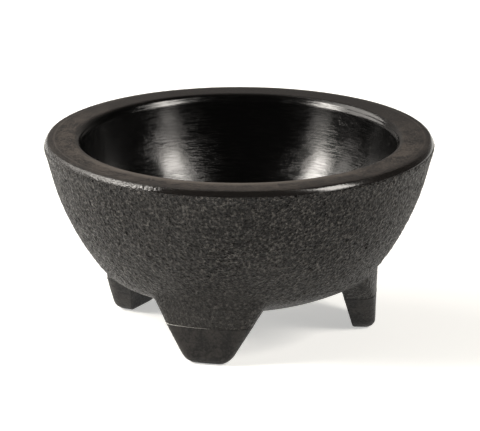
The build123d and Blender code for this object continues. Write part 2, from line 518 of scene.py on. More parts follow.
# ---- finishes ------------------------------------------------------------------------------
@dataclass(frozen=True)
class StoneMoulding:
    """Mineral-filled polypropylene moulded against a stone-grained tool.

    It gives the eye a dull charcoal skin with short worm-like ridges, painted shade in its hollows
    and pits, and small bright glints on the tops of the grain that are partly real gloss and
    partly painted highlight.
    """

    shade_and_cloud_colour: str = "#060505"
    body_colour: str = "#292725"
    glint_colour: str = "#64615d"
    grain: float = 0.95
    pit: float = 2.4
    cloud: float = 9.0
    patch: float = 24.0
    relief: float = 1.2
    roughness: float = 0.4
    rough_span: tuple[float, float] = (0.14, -0.12)
    smooth_below: float = 12.0
    rough_above: float = 44.0
    low_strength: float = 0.35
    patch_step: Step = (0.35, 0.65, 0.75, 1.2)
    worm_width: float = 1.3
    worm_step: Step = (0.0, 0.32)
    ridge_share: float = 1.2
    worm_share: float = 0.45
    pit_step: Step = (0.06, 0.34)
    tone_step: Step = (0.36, 0.6)
    glint_step: Step = (0.52, 0.72)
    glint_share: float = 0.7
    pit_shade_share: float = 0.75
    cloud_step: Step = (0.35, 0.75, 0.0, 0.22)
    gloss_step: Step = (0.45, 0.9)
    lip_top: float = 62.25
    lip_fade: tuple[float, float] = (2.0, 0.9)
    lip_polish: float = -0.14

    def build(self) -> bpy.types.Material:
        """Build the shell's material.

        Returns:
            The stone-grained material.
        """
        material, node = new_material("stone_grained_polypropylene")
        where = node(Kind.OBJECT_PLACE)
        z = node(Kind.SPLIT, where)[2]
        patches = node(Kind.NOISE, where, per_metre(self.patch), 1.0)
        by_height = node(Kind.STEP, z, self.smooth_below * MM, self.rough_above * MM, self.low_strength, 1.0)
        strength = node(Kind.MULTIPLY, by_height, node(Kind.STEP, patches, *self.patch_step))
        ridges = node(Kind.NOISE, where, per_metre(self.grain), 2.0, 0.6)
        worms = node(Kind.STEP, node(Kind.CELL_EDGES, where, per_metre(self.grain * self.worm_width)),
                     *self.worm_step)
        pits = node(Kind.STEP, node(Kind.CELLS, where, per_metre(self.pit)), *self.pit_step)
        clouds = node(Kind.NOISE, where, per_metre(self.cloud), 3.0, 0.6)
        # the grain's relief, broken by the pits
        grain = node(Kind.MULTIPLY_ADD, ridges, self.ridge_share, node(Kind.MULTIPLY, worms, self.worm_share))
        relief = node(Kind.MULTIPLY, node(Kind.MULTIPLY, grain, pits), strength)
        # painted shade in the hollows, painted highlights on the tops, painted shade in the pits, and broad
        # darker clouds
        contrast = node(Kind.MULTIPLY_ADD, node(Kind.SUBTRACT, ridges, 0.5), strength, 0.5)
        low, high = linear(self.shade_and_cloud_colour), linear(self.glint_colour)
        # painted shade: the grain's hollows are painted darker
        body = node(Kind.BLEND, node(Kind.STEP, contrast, *self.tone_step), low, linear(self.body_colour))
        # painted highlight: the grain's tops are painted lighter
        painted_glints = node(Kind.MULTIPLY, node(Kind.STEP, ridges, *self.glint_step),
                    node(Kind.MULTIPLY, strength, self.glint_share))
        # painted shade: the pits are painted dark
        holes = node(Kind.MULTIPLY, node(Kind.SUBTRACT, 1.0, pits),
                     node(Kind.MULTIPLY, strength, self.pit_shade_share))
        pitted = node(Kind.BLEND, holes, node(Kind.BLEND, painted_glints, body, high), low)
        colour = node(Kind.BLEND, node(Kind.STEP, clouds, *self.cloud_step), pitted, low)
        # glossier tops, and a lip that is a little polished
        rough = node(Kind.STEP, node(Kind.ADD, ridges, node(Kind.MULTIPLY, clouds, 0.3)), *self.gloss_step,
                     self.roughness + self.rough_span[0], self.roughness + self.rough_span[1])
        lip_low, lip_high = ((self.lip_top - below) * MM for below in self.lip_fade)
        rough = node(Kind.MULTIPLY_ADD, node(Kind.STEP, z, lip_low, lip_high), self.lip_polish, rough)
        finish_with(node, {"Base Color": colour, "Roughness": rough,
                           "Normal": node(Kind.BUMP, relief, self.relief * MM),
                           "Specular IOR Level": PLASTIC_SPECULAR, "IOR": PLASTIC_IOR})
        return material


@dataclass(frozen=True)
class BowlMoulding:
    """Gloss black polypropylene inside, with a matt, fine-grained rim.

    The eye sees a near-black mirror broken by short scuffs that run around the bowl, and
    a grey-brown rim with painted light on it: lighter at the front and along the front of the lip,
    darker towards the back and towards the outer margin, with a painted highlight along the
    flat's outer edge.
    """

    flat_radius: float
    lip_radius: float
    rim_top: float
    inside_colour: str = "#050505"
    rim_colour: str = "#423c37"
    rim_dark: str = "#151211"
    band_colour: str = "#181615"
    edge_highlight_colour: str = "#3f3a36"
    lit_lip_colour: str = "#5e5852"
    grain: float = 0.9
    stone: float = 0.9
    cloud: float = 6.0
    scuff_long: float = 5.0
    scuff_wide: float = 0.55
    scuff_patch: float = 9.0
    scuff_step: Step = (0.4, 0.68)
    scuff_patch_step: Step = (0.3, 0.65, 0.4, 1.0)
    scuff_tone: float = 0.08
    scuff_rough: float = 0.10
    scuff_height: float = 0.34
    inside_rough: float = 0.14
    rim_rough: float = 0.5
    grain_rough: float = 0.16
    band_rough: float = 0.19
    band_from: float = 61.5
    band_fade: float = 1.1
    wander_size: float = 14.0
    wander_depth: float = 1.2
    tone_step: Step = (0.45, 0.55)
    front_light_from: float = -10.0
    front_light_to: float = 56.0
    edge_highlight_step: Step = (0.3, 0.65, 0.25, 0.8)
    grain_height: float = 6.0
    left_pit_height: float = 6.0
    right_pit_height: float = 0.5
    pit_fade: tuple[float, float] = (-22.0, 2.0)
    bump: float = 0.05

    def build(self) -> bpy.types.Material:
        """Build the inner bowl's material.

        Returns:
            The material, glossy inside and matt on the rim.
        """
        material, node = new_material("gloss_and_matt_polypropylene")
        where = node(Kind.OBJECT_PLACE)
        x, y, z = node(Kind.SPLIT, where)
        r = node(Kind.SQRT, node(Kind.ADD, node(Kind.MULTIPLY, x, x), node(Kind.MULTIPLY, y, y)))
        grain = node(Kind.NOISE, where, per_metre(self.grain), 3.0, 0.7)
        cloud = node(Kind.NOISE, where, per_metre(self.cloud), 3.0, 0.6)
        drift = node(Kind.NOISE, where, per_metre(self.wander_size), 2.0)
        wander = node(Kind.MULTIPLY, node(Kind.SUBTRACT, drift, 0.5), self.wander_depth * MM)
        rim_or_band = self.rim_mask(node, r, z, wander)
        on_band = node(Kind.STEP, node(Kind.ADD, r, node(Kind.MULTIPLY, wander, 0.5)), self.band_from * MM,
                       (self.band_from + self.band_fade) * MM)
        scuffed = self.scuffs(node, where, (x, y), node(Kind.ADD, r, z))
        rim = self.rim_colours(node, (y, r), (grain, cloud), on_band)
        dark = linear(self.rim_dark)
        inside = node(Kind.BLEND, node(Kind.MULTIPLY, scuffed, self.scuff_tone),
                      linear(self.inside_colour), dark)
        colour = node(Kind.BLEND, rim_or_band, inside, rim)
        base_rough = node(Kind.MULTIPLY_ADD, on_band, self.band_rough - self.rim_rough, self.rim_rough - 0.1)
        rough = node(Kind.MIX, rim_or_band,
                     node(Kind.MULTIPLY_ADD, scuffed, self.scuff_rough, self.inside_rough),
                     node(Kind.MULTIPLY_ADD, grain, self.grain_rough, base_rough))
        stone = node(Kind.NOISE, where, per_metre(self.stone), 2.0, 0.6)
        pit_low, pit_high = (edge * MM for edge in self.pit_fade)
        pitted = node(Kind.MULTIPLY, stone, node(Kind.STEP, x, pit_low, pit_high, self.left_pit_height,
                                                 self.right_pit_height))
        rim_height = node(Kind.MIX, on_band, node(Kind.MULTIPLY, grain, self.grain_height), pitted)
        height = node(Kind.MIX, rim_or_band, node(Kind.MULTIPLY, scuffed, self.scuff_height), rim_height)
        finish_with(node, {"Base Color": colour, "Roughness": rough,
                           "Normal": node(Kind.BUMP, height, self.bump * MM), "IOR": PLASTIC_IOR})
        return material

    def rim_mask(self, node: Callable[..., Any], r: Any, z: Any, wander: Any) -> Any:
        """Mark the rim and the edge band, with a lip line that wanders a little.

        Args:
            node: Adds a node to the material.
            r: Distance from the bowl's axis.
            z: Height.
            wander: How far the lip line strays.

        Returns:
            One on the rim and the band, zero inside the bowl.
        """
        lip = node(Kind.STEP, node(Kind.ADD, r, wander), (self.lip_radius - 1.6) * MM,
                   (self.lip_radius + 0.4) * MM)
        high = node(Kind.STEP, z, (self.rim_top - 1.4) * MM, (self.rim_top - 0.4) * MM)
        outside = node(Kind.STEP, r, (self.flat_radius - 0.2) * MM, (self.flat_radius + 0.5) * MM)
        return node(Kind.MAXIMUM, node(Kind.MULTIPLY, lip, high), outside)

    def scuffs(self, node: Callable[..., Any], where: Any, across: tuple[Any, Any], along: Any) -> Any:
        """Draw scuffs that are long around the bowl and narrow along its profile.

        Args:
            node: Adds a node to the material.
            where: Position on the piece.
            across: Its X and Y.
            along: Distance travelled along the profile.

        Returns:
            How scuffed a point is.
        """
        travel = node(Kind.MULTIPLY, along, per_metre(self.scuff_wide))
        around = [node(Kind.MULTIPLY, c, per_metre(self.scuff_long)) for c in across]
        spin = node(Kind.VECTOR, *around, travel)
        lines = node(Kind.STEP, node(Kind.NOISE, spin, 1.0, 4.0, 0.7), *self.scuff_step)
        patches = node(Kind.NOISE, where, per_metre(self.scuff_patch), 2.0, 0.5)
        return node(Kind.MULTIPLY, lines, node(Kind.STEP, patches, *self.scuff_patch_step))

    def rim_colours(self, node: Callable[..., Any], place: tuple[Any, Any], grains: tuple[Any, Any],
                    on_band: Any) -> Any:
        """Colour the rim: painted light on the front and on the front of the lip, painted shade towards the
        back and the margin, glossy band and a painted highlight along the flat's edge.

        Args:
            node: Adds a node to the material.
            place: The Y and the distance from the axis.
            grains: The fine grain and the broad clouds.
            on_band: One on the glossy edge band.

        Returns:
            The rim's colour.
        """
        y, r = place
        grain, cloud = grains
        dark = linear(self.rim_dark)
        tone = node(Kind.ADD, node(Kind.MULTIPLY, grain, 0.6), node(Kind.MULTIPLY, cloud, 0.4))
        # painted light and shade: the rim is painted lighter at the front and fades to rim_dark at the back
        painted_front_light = node(Kind.STEP, y, self.front_light_from * MM, self.front_light_to * MM, 1.0, 0.0)
        plain = node(Kind.BLEND, node(Kind.MULTIPLY, node(Kind.STEP, tone, *self.tone_step), painted_front_light), dark,
                     linear(self.rim_colour))
        # painted light: the lip is painted lighter at the front
        near_lip = node(Kind.STEP, r, (self.lip_radius + 0.6) * MM, (self.lip_radius + 3.4) * MM, 0.7, 0.0)
        lightened = node(Kind.MULTIPLY, near_lip, node(Kind.STEP, y, -48 * MM, -20 * MM, 1.0, 0.0))
        flat = node(Kind.BLEND, lightened, plain, linear(self.lit_lip_colour))
        # painted shade: darker towards the flat's outer edge, where the rim slopes away
        margin_shade = node(Kind.STEP, r, (self.flat_radius - 2.6) * MM, (self.flat_radius + 0.8) * MM,
                           0.0, 0.6)
        margin = node(Kind.BLEND, margin_shade, flat, dark)
        banded = node(Kind.BLEND, on_band, margin, linear(self.band_colour))
        # painted highlight: a light line along the flat's crisp outer edge, broken in patches
        edge_away = node(Kind.ABSOLUTE, node(Kind.SUBTRACT, r, self.flat_radius * MM))
        edge = node(Kind.STEP, edge_away, 0.1 * MM, 0.5 * MM, 1.0, 0.0)
        edge_highlight = node(Kind.MULTIPLY, edge, node(Kind.STEP, cloud, *self.edge_highlight_step))
        return node(Kind.BLEND, edge_highlight, banded, linear(self.edge_highlight_colour))


@dataclass(frozen=True)
class FootMoulding:
    """Plain moulded polypropylene of the feet, also used near white for the leg's flash, where its colour is
    a painted highlight.

    It gives the eye a satin charcoal, finer and a little darker than the shell, with light rubs
    near the sole.
    """

    name: str
    dark: str
    light: str
    rub: str
    roughness: float
    grain: float = 0.9
    cloud: float = 5.0
    rub_height: float = 3.0
    tone_step: Step = (0.42, 0.6)
    rub_step: Step = (0.5, 0.75, 0.0, 0.6)
    gloss_step: Step = (0.3, 0.75)
    rough_span: float = 0.08
    bump: float = 0.32

    def build(self) -> bpy.types.Material:
        """Build the material.

        Returns:
            The satin material.
        """
        material, node = new_material(self.name)
        where = node(Kind.OBJECT_PLACE)
        z = node(Kind.SPLIT, where)[2]
        grain = node(Kind.NOISE, where, per_metre(self.grain), 4.0, 0.7)
        cloud = node(Kind.NOISE, where, per_metre(self.cloud), 3.0, 0.6)
        tone = node(Kind.ADD, node(Kind.MULTIPLY, grain, 0.5), node(Kind.MULTIPLY, cloud, 0.5))
        body = node(Kind.BLEND, node(Kind.STEP, tone, *self.tone_step), linear(self.dark), linear(self.light))
        low = node(Kind.STEP, z, 0.0, self.rub_height * MM, 1.0, 0.0)
        lightened = node(Kind.MULTIPLY, low, node(Kind.STEP, grain, *self.rub_step))
        rough = node(Kind.STEP, grain, *self.gloss_step, self.roughness + self.rough_span,
                     self.roughness - self.rough_span)
        finish_with(node, {"Base Color": node(Kind.BLEND, lightened, body, linear(self.rub)), "Roughness": rough,
                           "Normal": node(Kind.BUMP, tone, self.bump * MM),
                           "Specular IOR Level": PLASTIC_SPECULAR, "IOR": PLASTIC_IOR})
        return material


@dataclass(frozen=True)
class LightTable:
    """White translucent acrylic table, lit softly from below, with the faintest tooth."""

    colour: str = "#f4f4f2"
    shade: str = "#eeeeec"
    glow: float = 0.52
    tooth: float = 3.0

    def build(self) -> bpy.types.Material:
        """Build the floor's material.

        Returns:
            The glowing white material.
        """
        material, node = new_material("white_acrylic_light_table")
        tooth = node(Kind.NOISE, node(Kind.OBJECT_PLACE), per_metre(self.tooth), 3.0)
        colour = node(Kind.BLEND, tooth, linear(self.shade), linear(self.colour))
        finish_with(node, {"Base Color": colour, "Roughness": 0.9, "Specular IOR Level": 0.1,
                           "Emission Color": linear(self.colour), "Emission Strength": self.glow})
        return material


def new_material(name: str) -> tuple[bpy.types.Material, Callable[..., Any]]:
    """Make an empty node material.

    Args:
        name: Name of the material.

    Returns:
        The material, and the function that adds a node to it.
    """
    material = bpy.data.materials.new(name)
    material.use_nodes = True
    material.node_tree.nodes.clear()
    return material, partial(add_node, material.node_tree)


def finish_with(node: Callable[..., Any], inputs: dict[str, Any]) -> None:
    """Close a material with its shader and output."""
    node(Kind.MATERIAL_OUTPUT, node(Kind.PRINCIPLED, inputs=inputs))


def per_metre(size: float) -> float:
    """Return how many features of a size in millimetres fit in a metre."""
    return 1 / (size * MM)


# ---- geometry-node trees -------------------------------------------------------------------
def new_tree(name: str, sizes: dict[str, float]) -> tuple[bpy.types.NodeTree, Any, dict[str, str]]:
    """Start a geometry tree with named float inputs and a material input.

    Args:
        name: Name of the tree.
        sizes: Input names with their default values.

    Returns:
        The tree, the outputs of its input node and the identifier of each named input.
    """
    tree = bpy.data.node_groups.new(name, "GeometryNodeTree")
    tree.is_modifier = True
    tree.interface.new_socket("Geometry", in_out="INPUT", socket_type="NodeSocketGeometry")
    names: dict[str, str] = {}
    for key, value in sizes.items():
        socket = tree.interface.new_socket(key, in_out="INPUT", socket_type="NodeSocketFloat")
        socket.default_value = value
        names[key] = socket.identifier
    finish = tree.interface.new_socket("Finish", in_out="INPUT", socket_type="NodeSocketMaterial")
    names["Finish"] = finish.identifier
    tree.interface.new_socket("Geometry", in_out="OUTPUT", socket_type="NodeSocketGeometry")
    return tree, add_node(tree, Kind.TREE_INPUT), names


def end_tree(tree: bpy.types.NodeTree, geometry: Any, finish: Any) -> None:
    """Close a geometry tree with Realize Instances and Set Material.

    Args:
        tree: The tree to close.
        geometry: Socket of the finished shape.
        finish: Socket of the material.
    """
    solid = add_node(tree, Kind.REALIZE, geometry)
    add_node(tree, Kind.TREE_OUTPUT, add_node(tree, Kind.SET_MATERIAL, solid, finish))


def run_tree(obj: bpy.types.Object, tree: bpy.types.NodeTree, names: dict[str, str],
             values: dict[str, Any]) -> None:
    """Run a geometry tree on an object and keep the result as plain mesh.

    Args:
        obj: Object that carries the tree.
        tree: The tree.
        names: Identifier of each named input.
        values: Value of each named input that is set.
    """
    modifier = obj.modifiers.new(tree.name, "NODES")
    modifier.node_group = tree
    for key, value in values.items():
        modifier[names[key]] = value
    settle(obj)


# ---- the pieces ----------------------------------------------------------------------------
@dataclass
class StoneShell:
    """Outer shell with its stone relief, three leg roots and the hollow inside."""

    form: BowlForm
    leg: LegForm
    joint: float
    voxel: float = 0.44
    turn: float = 10.0
    wall: float = 2.4
    leg_wall: float = 2.2
    leg_root: float = 5.0
    lip_top: float = 62.25
    lip_round: float = 0.9
    lip_width: float = 0.45
    rebate_radius: float = 62.3
    post_inner: float = 3.15
    post_outer: float = 7.0
    post_top: float = 18.0
    grain_size: float = 1.15
    grain_depth: float = 0.26
    pit_size: float = 3.1
    pit_depth: float = 0.3
    sway_size: float = 11.0
    sway_depth: float = 0.16
    triangles: int = 215000
    seed: float = 4.0
    grain_gain: float = 2.6
    sway_gain: float = 2.0
    pit_step: Step = (0.08, 0.30, 1.0, 0.0)
    rough_above: float = 26.0
    shoulder_fade: float = 1.6
    shoulder_rest: float = 0.6
    root_low: tuple[float, float] = (13.4, 15.6)
    root_high: tuple[float, float] = (27.0, 31.0)
    root_radius: tuple[float, float] = (26.0, 29.0)
    root_softening: int = 14
    root_overlap: float = 1.6
    trim_inner: float = 30.4
    trim_outer: float = 72.0
    trim_depth: float = 4.0
    hollow_margin: float = 1.0
    turned_steps: int = 360
    hollow_steps: int = 144
    crease: float = 60.0

    def outer_profile(self) -> Profile:
        """Trace the outside up to the rounded lip that stands round the rim, closed over the top.

        Returns:
            Radius and height of each point, from the axis to the axis.
        """
        round_start = self.lip_top - self.lip_round
        side = self.form.side(0.0, self.turn, round_start, 0.5)
        swell = self.form.rim_radius - 0.05 - side[-1][0]
        swell_from = round_start - 5.0
        points: Profile = []
        for r, z in side:
            share = min(max((z - swell_from) / (round_start - swell_from), 0.0), 1.0)
            points.append((r + swell * share * share * (3 - 2 * share), z))
        edge = points[-1][0]
        for i in range(1, 7):
            a = math.pi / 2 * i / 6
            points.append((edge - self.lip_width * (1 - math.cos(a)),
                           round_start + self.lip_round * math.sin(a)))
        ring, top = points[-1]
        points += [(ring * (1 - i / 40), top) for i in range(1, 40)]
        return points + [(0.0, top)]

    def hollow_profile(self) -> Profile:
        """Trace the space inside the shell, around the post that carries the inner bowl.

        Returns:
            Radius and height of each point, from the axis to the axis.
        """
        side = self.form.side(self.wall, self.turn - self.wall, self.form.shell_top, 1.6)
        floor = side[0][1]
        outside_post = [(r, z) for r, z in side if r > self.post_outer + 0.5]
        post = [(0.0, floor), (self.post_inner, floor), (self.post_inner, self.post_top),
                (self.post_outer, self.post_top),
                (self.post_outer, self.form.base_z(self.post_outer, self.wall))]
        above = self.lip_top + 3.0
        return post + outside_post + [(self.rebate_radius, self.form.shell_top), (self.rebate_radius, above),
                                      (0.0, above)]

    def relief_tree(self) -> tuple[bpy.types.NodeTree, dict[str, str]]:
        """Build the tree that softens the leg roots and raises the stone grain.

        Returns:
            The tree and the identifier of each named input.
        """
        sizes = {"Grain size": self.grain_size * MM, "Grain depth": self.grain_depth * MM,
                 "Pit size": self.pit_size * MM, "Pit depth": self.pit_depth * MM,
                 "Sway size": self.sway_size * MM, "Sway depth": self.sway_depth * MM,
                 "Smooth below": (self.joint + 0.4) * MM, "Rough above": self.rough_above * MM,
                 "Shoulder": self.lip_top * MM, "Seed": self.seed}
        tree, size, names = new_tree("stone_relief", sizes)
        node = partial(add_node, tree)
        where = node(Kind.POSITION)
        x, y, z = node(Kind.SPLIT, where)
        r = node(Kind.SQRT, node(Kind.ADD, node(Kind.MULTIPLY, x, x), node(Kind.MULTIPLY, y, y)))
        above_joint = node(Kind.STEP, z, *(edge * MM for edge in self.root_low))
        below_body = node(Kind.STEP, z, *(edge * MM for edge in self.root_high), 1.0, 0.0)
        far_out = node(Kind.STEP, r, *(edge * MM for edge in self.root_radius))
        near_leg = node(Kind.MULTIPLY, node(Kind.MULTIPLY, above_joint, below_body), far_out)
        soft = node(Kind.BLUR, where, self.root_softening, near_leg)
        blended = node(Kind.SET_POSITION, size["Geometry"], soft)
        place = node(Kind.MOVE, where, node(Kind.VECTOR, size["Seed"], 0.0, 0.0))
        per = {name: node(Kind.DIVIDE, 1.0, size[name]) for name in ("Grain size", "Sway size", "Pit size")}
        grain = node(Kind.SUBTRACT, node(Kind.NOISE, place, per["Grain size"], 1.5, 0.5), 0.5)
        sway = node(Kind.SUBTRACT, node(Kind.NOISE, place, per["Sway size"], 1.0, 0.4), 0.5)
        holes = node(Kind.STEP, node(Kind.CELLS, place, per["Pit size"]), *self.pit_step)
        shoulder_from = node(Kind.SUBTRACT, size["Shoulder"], self.shoulder_fade * MM)
        fade = node(Kind.MULTIPLY, node(Kind.STEP, z, size["Smooth below"], size["Rough above"], 0.0, 1.0),
                    node(Kind.STEP, z, shoulder_from, size["Shoulder"], 1.0, self.shoulder_rest))
        rise = node(Kind.MULTIPLY, node(Kind.MULTIPLY, grain, self.grain_gain), size["Grain depth"])
        rise = node(Kind.SUBTRACT, rise, node(Kind.MULTIPLY, holes, size["Pit depth"]))
        rise = node(Kind.MULTIPLY_ADD, node(Kind.MULTIPLY, sway, self.sway_gain), size["Sway depth"], rise)
        rise = node(Kind.MULTIPLY, rise, fade)
        raised = node(Kind.OFFSET, blended, node(Kind.SCALE, node(Kind.NORMAL), rise))
        end_tree(tree, raised, size["Finish"])
        return tree, names

    def build(self, finish: bpy.types.Material) -> bpy.types.Object:
        """Build the shell.

        Args:
            finish: The stone-grained material.

        Returns:
            The finished piece, riding on the frame.
        """
        parts = [turned_mesh("turned_body", self.outer_profile(), self.turned_steps)]
        for place in LegPlace:
            stub = self.leg.block("stub", self.joint - self.root_overlap, self.leg.top + self.leg_root)
            stub.data.transform(place.turn)
            parts.append(stub)
        shell = joined("stone_shell", parts)
        remesh = shell.modifiers.new("fuse", "REMESH")
        remesh.mode = "VOXEL"
        remesh.voxel_size = self.voxel * MM
        settle(shell)
        tree, names = self.relief_tree()
        run_tree(shell, tree, names, {"Finish": finish})
        # thinned before the cuts, because thinning a cut mesh leaves open edges
        thinned(shell, self.triangles)
        low = self.joint - self.trim_depth
        under_legs = [(self.trim_inner, low), (self.trim_outer, low), (self.trim_outer, self.joint),
                      (self.trim_inner, self.joint)]
        cut(shell, self.ring_cutter(under_legs))
        cut(shell, turned_mesh("hollow", self.hollow_profile(), self.hollow_steps))
        hollows = []
        for place in LegPlace:
            hollow = self.leg.block("leg_hollow", self.joint - self.hollow_margin,
                                    self.leg.top + self.hollow_margin, self.leg_wall)
            hollow.data.transform(place.turn)
            hollows.append(hollow)
        cut(shell, joined("leg_hollows", hollows))
        dress(shell, finish)
        smooth(shell, self.crease)
        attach(shell, "root")
        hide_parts("outer_shell")
        return shell

    @staticmethod
    def ring_cutter(section: Profile) -> bpy.types.Object:
        """Make a ring about the axis from its closed section, to trim the leg roots.

        Args:
            section: Radius and height of each corner of the section.

        Returns:
            The ring.
        """
        steps = 120
        angles = [2 * math.pi * i / steps for i in range(steps)]
        points = [(r * math.sin(a), -r * math.cos(a), z) for r, z in section for a in angles]
        faces = []
        for row in range(len(section)):
            low, high = row * steps, (row + 1) % len(section) * steps
            for i in range(steps):
                j = (i + 1) % steps
                faces.append((low + i, low + j, high + j, high + i))
        return closed_mesh("trim", points, faces)


@dataclass
class ServingBowl:
    """Glossy inner bowl with its broad flat rim, rounded edge band, skirt and pin."""

    form: BowlForm
    depth: float = 11.6
    wall: float = 2.2
    inside_turn: float = 26.0
    lip_round: float = 2.0
    flat_radius: float = 60.2
    flange_radius: float = 63.2
    margin_low: float = 62.05
    groove_radius: float = 62.0
    margin_bends: tuple[tuple[float, float], ...] = ((5.0, 0.0), (22.0, 0.3), (40.0, 1.35), (66.0, 0.4))
    skirt_inner: float = 58.03
    skirt_outer: float = 59.83
    skirt_depth: float = 3.4
    pin_radius: float = 3.0
    pin_length: float = 4.0
    segments: int = 288
    wobble_size: float = 30.0
    wobble_depth: float = 0.12

    @property
    def lip_radius(self) -> float:
        """Radius where the rim's flat top ends and the lip turns down."""
        return self.form.wall_radius(self.form.height, self.depth) + self.lip_round

    def profile(self) -> Profile:
        """Trace the whole section from the pin's foot round to the inside floor.

        Returns:
            Radius and height of each point, from the axis to the axis.
        """
        top, joint = self.form.height, self.form.shell_top
        outside = self.depth - self.wall
        under = self.form.side(outside, self.inside_turn + self.wall, joint, 1.6)
        under = [p for p in under if p[0] > self.pin_radius + 0.4]
        pin_low = self.form.base_z(0.0, outside) - self.pin_length
        points: Profile = [(0.0, pin_low), (self.pin_radius - 0.3, pin_low), (self.pin_radius, pin_low + 0.3),
                           (self.pin_radius, self.form.base_z(self.pin_radius, outside))]
        points += under
        low = joint - self.skirt_depth
        points += [(self.skirt_inner, joint), (self.skirt_inner, low), (self.skirt_outer, low),
                   (self.skirt_outer, joint)]
        points += [(self.groove_radius, joint), (self.groove_radius, self.margin_low + 0.15)]
        points += self.rounded_margin()
        points += self.rim_flat()
        points += self.lip_arc()
        inside = self.form.side(self.depth, self.inside_turn, self.lip_arc()[-1][1] - 0.3, 0.9)
        return points + list(reversed(inside))

    def rounded_margin(self) -> Profile:
        """Trace the glossy rounded edge from the groove up to the flat's crisp outer line.

        Returns:
            Radius and height of each point.
        """
        r, z = self.flange_radius, self.margin_low
        points: Profile = [(r - 0.25, z - 0.05), (r, z)]
        for (start, _), (end, length) in zip(self.margin_bends, self.margin_bends[1:]):
            for i in range(6):
                a = math.radians(start + (end - start) * (i + 0.5) / 6)
                r -= math.sin(a) * length / 6
                z += math.cos(a) * length / 6
                points.append((r, z))
        end_r, end_z = points[-1]
        top = self.form.height - 0.04
        for i in range(1, 6):
            share = i / 5
            points.append((end_r + (self.flat_radius - end_r) * share,
                           end_z + (top - end_z) * (1 - (1 - share) ** 2)))
        return points

    def rim_flat(self) -> Profile:
        """Trace the flat top from its outer edge to the lip.

        Returns:
            Radius and height of each point.
        """
        top = self.form.height
        count = 9
        start, end = self.flat_radius - 0.12, self.lip_radius
        return [(start + (end - start) * i / count, top) for i in range(count + 1)]

    def lip_arc(self) -> Profile:
        """Trace the lip's rounding from the flat into the bowl.

        Returns:
            Radius and height of each point.
        """
        centre_z = self.form.height - self.lip_round
        slope = math.radians(13)
        count = 10
        angles = [math.pi / 2 + (math.pi / 2 - slope) * i / count for i in range(1, count + 1)]
        return [(self.lip_radius + self.lip_round * math.cos(a), centre_z + self.lip_round * math.sin(a))
                for a in angles]

    def wobble_tree(self) -> tuple[bpy.types.NodeTree, dict[str, str]]:
        """Build the tree that gives the rim the slight waviness of a cooled moulding.

        Returns:
            The tree and the identifier of each named input.
        """
        sizes = {"Wave size": self.wobble_size * MM, "Wave depth": self.wobble_depth * MM,
                 "From height": (self.form.height - 8) * MM, "Seed": 2.0}
        tree, size, names = new_tree("cooled_rim", sizes)
        node = partial(add_node, tree)
        where = node(Kind.POSITION)
        z = node(Kind.SPLIT, where)[2]
        place = node(Kind.MOVE, where, node(Kind.VECTOR, size["Seed"], 0.0, 0.0))
        wave = node(Kind.NOISE, place, node(Kind.DIVIDE, 1.0, size["Wave size"]), 1.0)
        amount = node(Kind.MULTIPLY, node(Kind.SUBTRACT, wave, 0.5), size["Wave depth"])
        near_top = node(Kind.STEP, z, size["From height"], node(Kind.ADD, size["From height"], 6 * MM))
        amount = node(Kind.MULTIPLY, amount, near_top)
        moved = node(Kind.OFFSET, size["Geometry"], node(Kind.VECTOR, 0.0, 0.0, amount))
        end_tree(tree, moved, size["Finish"])
        return tree, names

    def build(self, finish: bpy.types.Material) -> bpy.types.Object:
        """Build the inner bowl in its gloss and matt finish.

        Args:
            finish: Material of the piece.

        Returns:
            The finished piece, riding on the frame.
        """
        bowl = turned_mesh("serving_bowl", self.profile(), self.segments)
        tree, names = self.wobble_tree()
        run_tree(bowl, tree, names, {"Finish": finish})
        dress(bowl, finish)
        smooth(bowl, 40)
        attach(bowl, "root")
        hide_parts("inner_bowl")
        return bowl


